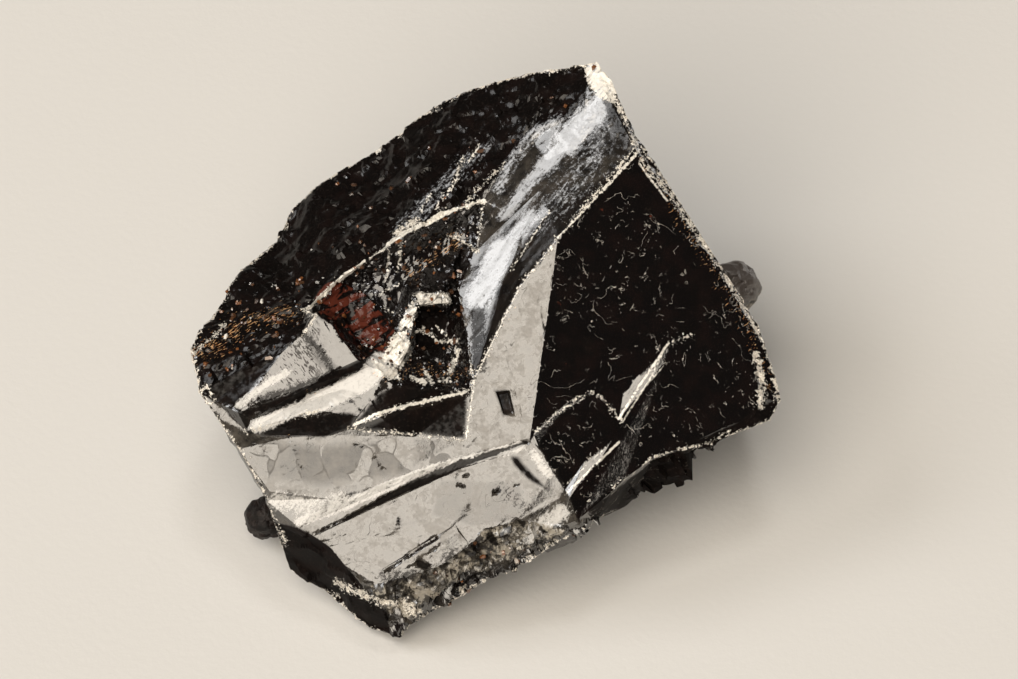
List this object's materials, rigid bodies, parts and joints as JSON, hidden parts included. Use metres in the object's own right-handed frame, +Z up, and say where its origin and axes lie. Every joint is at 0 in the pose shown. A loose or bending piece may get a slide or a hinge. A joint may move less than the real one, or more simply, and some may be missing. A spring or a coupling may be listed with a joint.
{
  "type": "cassiterite crystal specimen",
  "caption": "Loose twinned cassiterite crystal with mirror-like stepped and grooved faces, a rough hollow and small side crystals, resting on a flat patch of its base.",
  "frame": {"origin": "middle of the bounding box's underside, on the surface the specimen rests on", "axes": "+Z up; the broad crystal side faces -Y and up at 50 degrees; +X is to the right as that side is seen"},
  "size_m": [0.0392, 0.0318, 0.0262],
  "materials": {
    "black_crystal": "black with an adamantine, mirror-like lustre, red-brown inside thin spots, pale chipped edges",
    "grey_brown_crystal": "dull grey-brown, slightly pitted, paler below"
  },
  "bodies": {
    "root": {"twinned_crystal": "black_crystal", "side_crystal_right": "grey_brown_crystal", "side_crystal_left": "black_crystal"}
  },
  "joints": []
}
